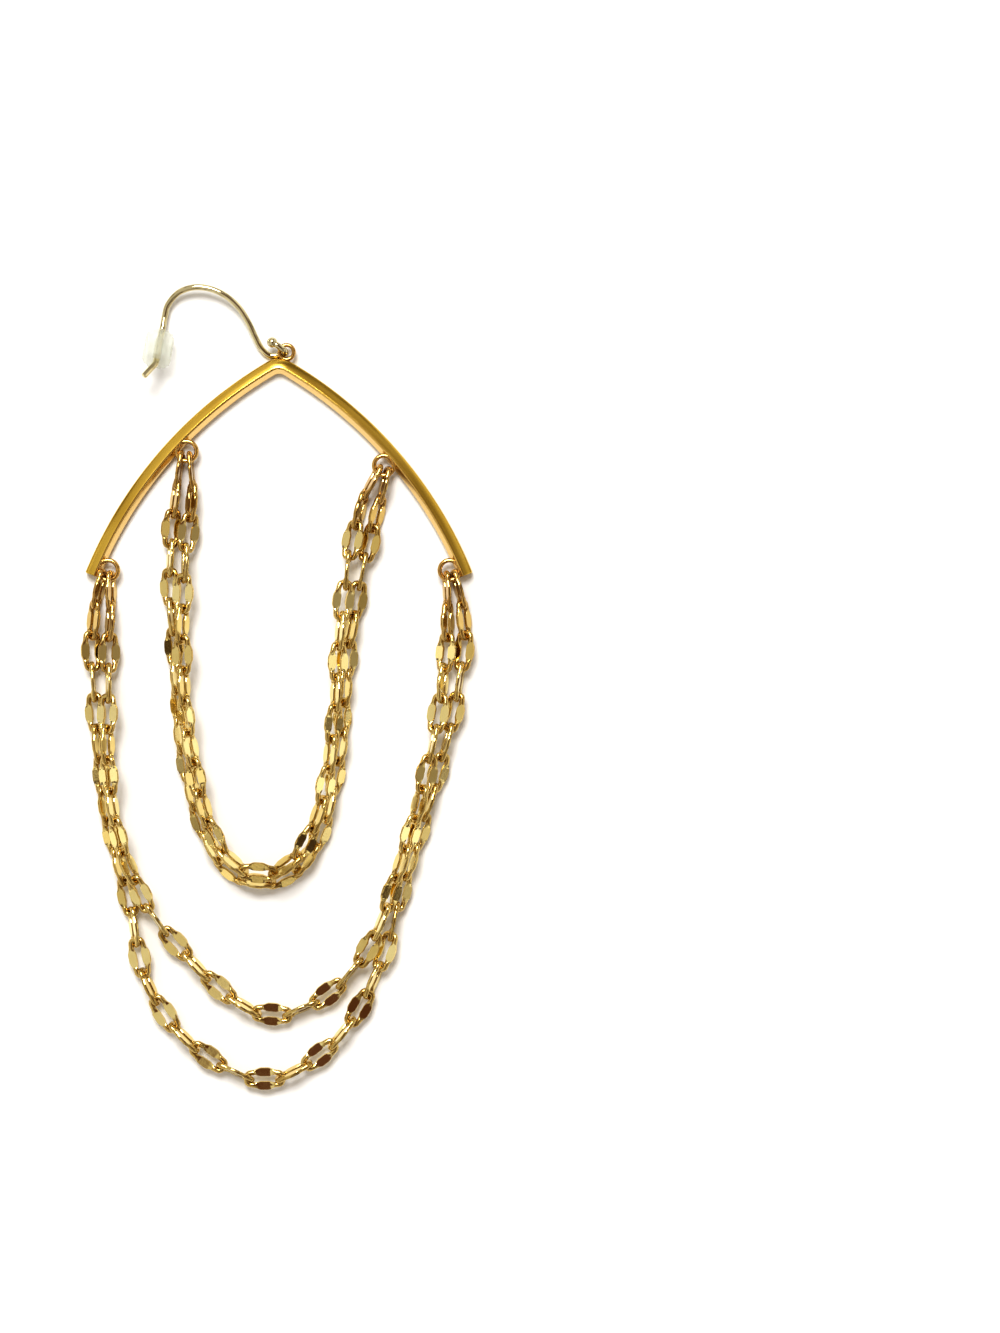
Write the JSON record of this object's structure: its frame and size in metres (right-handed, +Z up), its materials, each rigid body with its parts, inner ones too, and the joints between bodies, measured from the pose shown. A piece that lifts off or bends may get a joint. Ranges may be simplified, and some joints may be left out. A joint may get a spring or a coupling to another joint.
{
  "type": "chandelier earring",
  "caption": "Long chandelier earring lying flat: a pointed arch bar on an ear hook with a clear stopper, hung with nested swags of mirror-link chain.",
  "frame": {"origin": "under the middle of the whole earring's bounding box, on the surface that it lies on", "axes": "+Z up off the surface, +Y along the earring from the chains to the ear hook, +X to the right as seen from above"},
  "size_m": [0.0436, 0.0892, 0.0045],
  "materials": {
    "bar_metal": "polished",
    "hook_metal": "polished",
    "chain_metal": "polished",
    "silicone": "clear"
  },
  "bodies": {
    "root": {"arch_bar": "bar_metal", "ear_hook": "hook_metal", "stopper": "silicone", "inner_chain_a": "chain_metal", "inner_chain_b": "chain_metal", "outer_chain_short": "chain_metal", "outer_chain_long": "chain_metal"}
  },
  "joints": []
}
